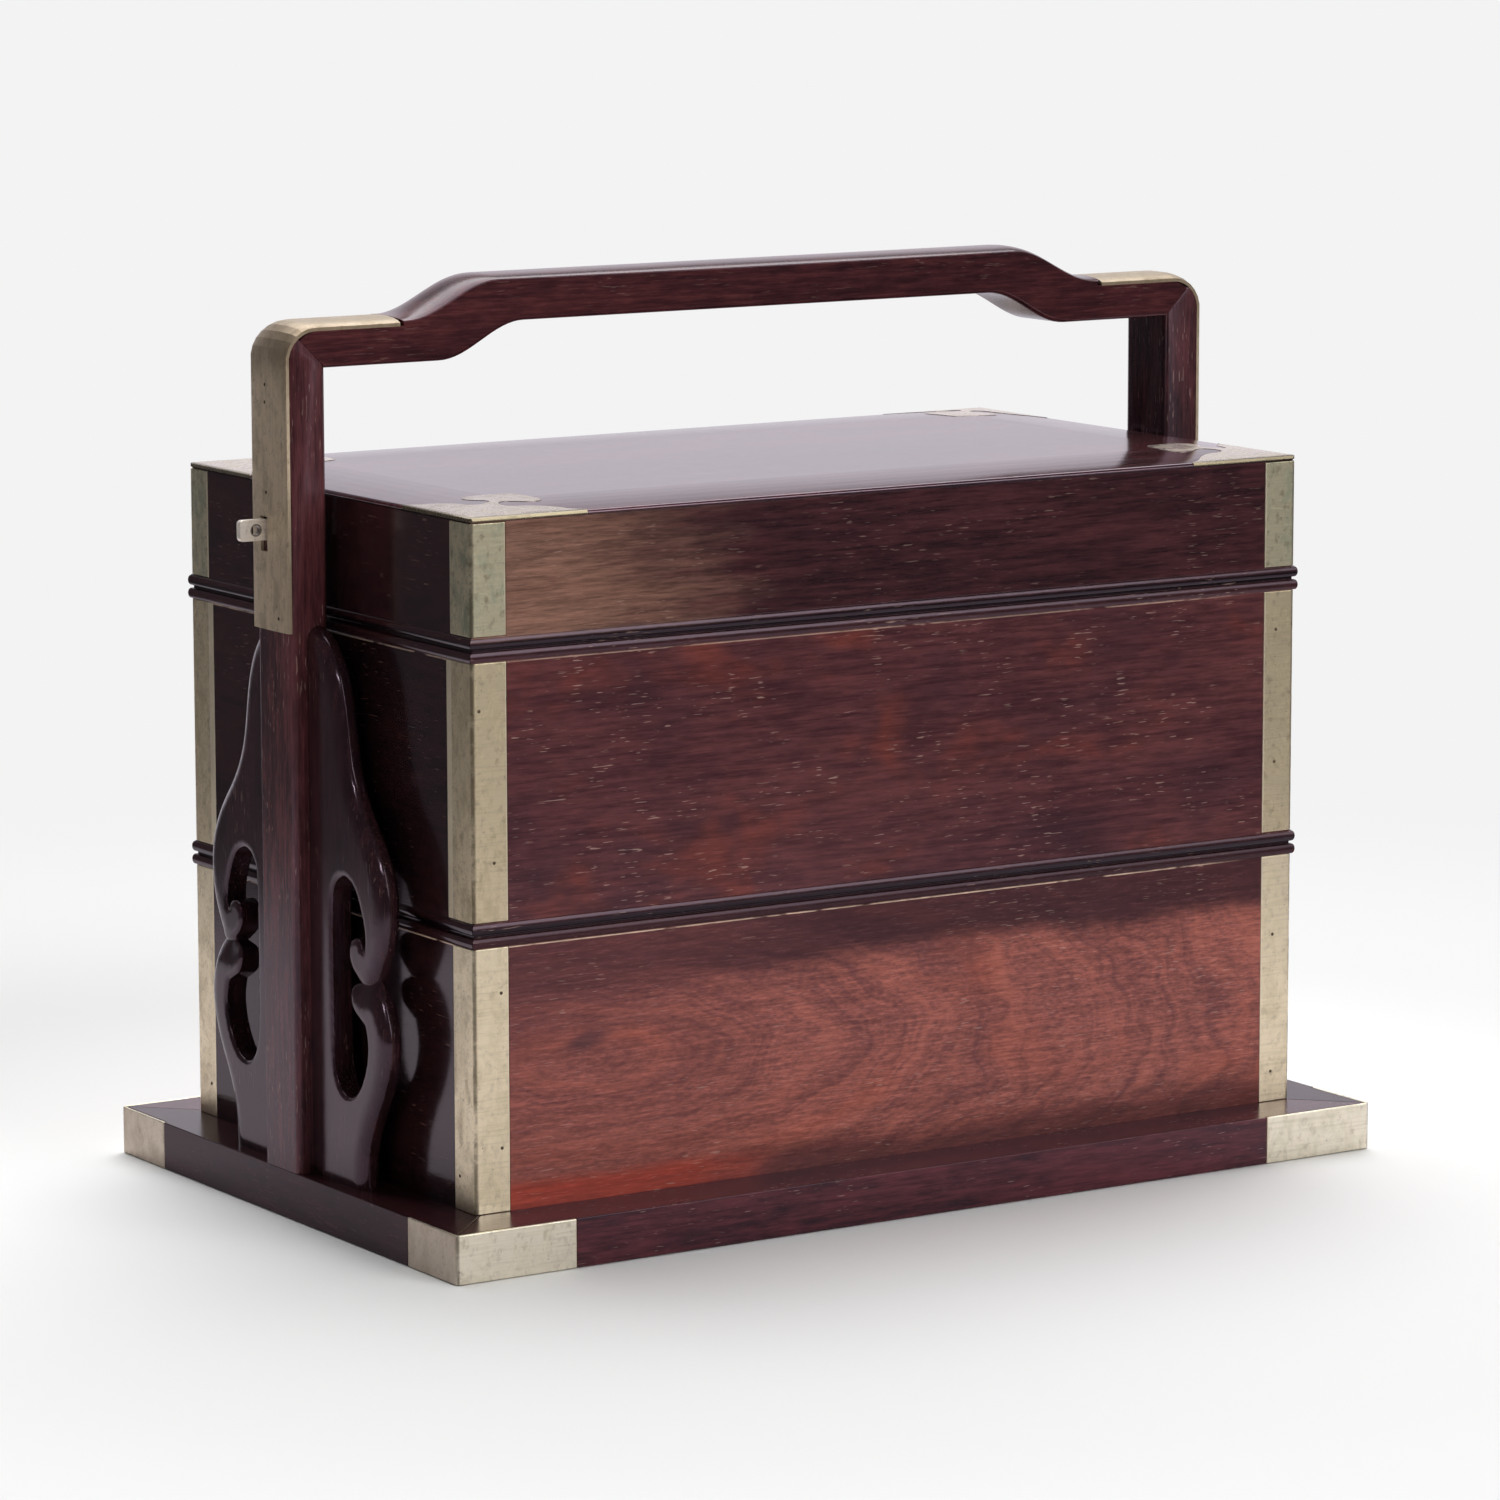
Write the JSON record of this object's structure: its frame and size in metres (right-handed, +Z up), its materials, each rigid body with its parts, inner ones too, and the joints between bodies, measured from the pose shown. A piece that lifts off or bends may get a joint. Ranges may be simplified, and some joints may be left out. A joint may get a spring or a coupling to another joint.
{
  "type": "two-tier carrying box",
  "caption": "Rectangular two-tier hardwood box with a lid, on a base with side posts, pierced brackets and a humpback handle bar.",
  "frame": {"origin": "centre of the base's underside, on the surface it stands on", "axes": "+X along the long side, +Y from the front to the back, +Z up"},
  "size_m": [0.3704, 0.2222, 0.2966],
  "materials": {
    "carrier_wood": "dark hardwood, polished",
    "tray_wood": "dark figured hardwood, polished",
    "lid_wood": "dark hardwood, polished",
    "floor_wood": "plain hardwood, waxed",
    "white_metal": "pale nickel brass, brushed and lightly tarnished"
  },
  "bodies": {
    "carrier": {"base_rail_front": "carrier_wood", "base_rail_back": "carrier_wood", "base_rail_left": "carrier_wood", "base_rail_right": "carrier_wood", "base_panel": "floor_wood", "base_mount_front_left": "white_metal", "base_mount_front_right": "white_metal", "base_mount_back_left": "white_metal", "base_mount_back_right": "white_metal", "post_left": "carrier_wood", "post_right": "carrier_wood", "handle_bar": "carrier_wood", "handle_strap_left": "white_metal", "handle_strap_right": "white_metal", "bracket_front_left": "carrier_wood", "bracket_front_right": "carrier_wood", "bracket_back_left": "carrier_wood", "bracket_back_right": "carrier_wood"},
    "lower_tray": {"lower_tray_front": "tray_wood", "lower_tray_back": "tray_wood", "lower_tray_left": "tray_wood", "lower_tray_right": "tray_wood", "lower_tray_floor": "floor_wood", "lower_tray_strap_front_left": "white_metal", "lower_tray_strap_front_right": "white_metal", "lower_tray_strap_back_left": "white_metal", "lower_tray_strap_back_right": "white_metal"},
    "upper_tray": {"upper_tray_front": "tray_wood", "upper_tray_back": "tray_wood", "upper_tray_left": "tray_wood", "upper_tray_right": "tray_wood", "upper_tray_floor": "floor_wood", "upper_tray_strap_front_left": "white_metal", "upper_tray_strap_front_right": "white_metal", "upper_tray_strap_back_left": "white_metal", "upper_tray_strap_back_right": "white_metal"},
    "lid": {"lid_front": "tray_wood", "lid_back": "tray_wood", "lid_left": "tray_wood", "lid_right": "tray_wood", "lid_top": "lid_wood", "lid_strap_front_left": "white_metal", "lid_strap_front_right": "white_metal", "lid_strap_back_left": "white_metal", "lid_strap_back_right": "white_metal", "lid_plate_front_left": "white_metal", "lid_plate_front_right": "white_metal", "lid_plate_back_left": "white_metal", "lid_plate_back_right": "white_metal"},
    "left_bolt": {"bolt_left": "white_metal"},
    "right_bolt": {"bolt_right": "white_metal"}
  },
  "joints": [
    {"name": "lower_tray_lift", "type": "slide", "parent": "carrier", "child": "lower_tray", "axis": [0, 0, 1], "range_m": [0, 0.012]},
    {"name": "upper_tray_lift", "type": "slide", "parent": "lower_tray", "child": "upper_tray", "axis": [0, 0, 1], "range_m": [0, 0.012]},
    {"name": "lid_lift", "type": "slide", "parent": "upper_tray", "child": "lid", "axis": [0, 0, 1], "range_m": [0, 0.012]},
    {"name": "left_bolt_draw", "type": "slide", "parent": "carrier", "child": "left_bolt", "axis": [-1, 0, 0], "range_m": [0, 0.006]},
    {"name": "right_bolt_draw", "type": "slide", "parent": "carrier", "child": "right_bolt", "axis": [1, 0, 0], "range_m": [0, 0.006]}
  ]
}
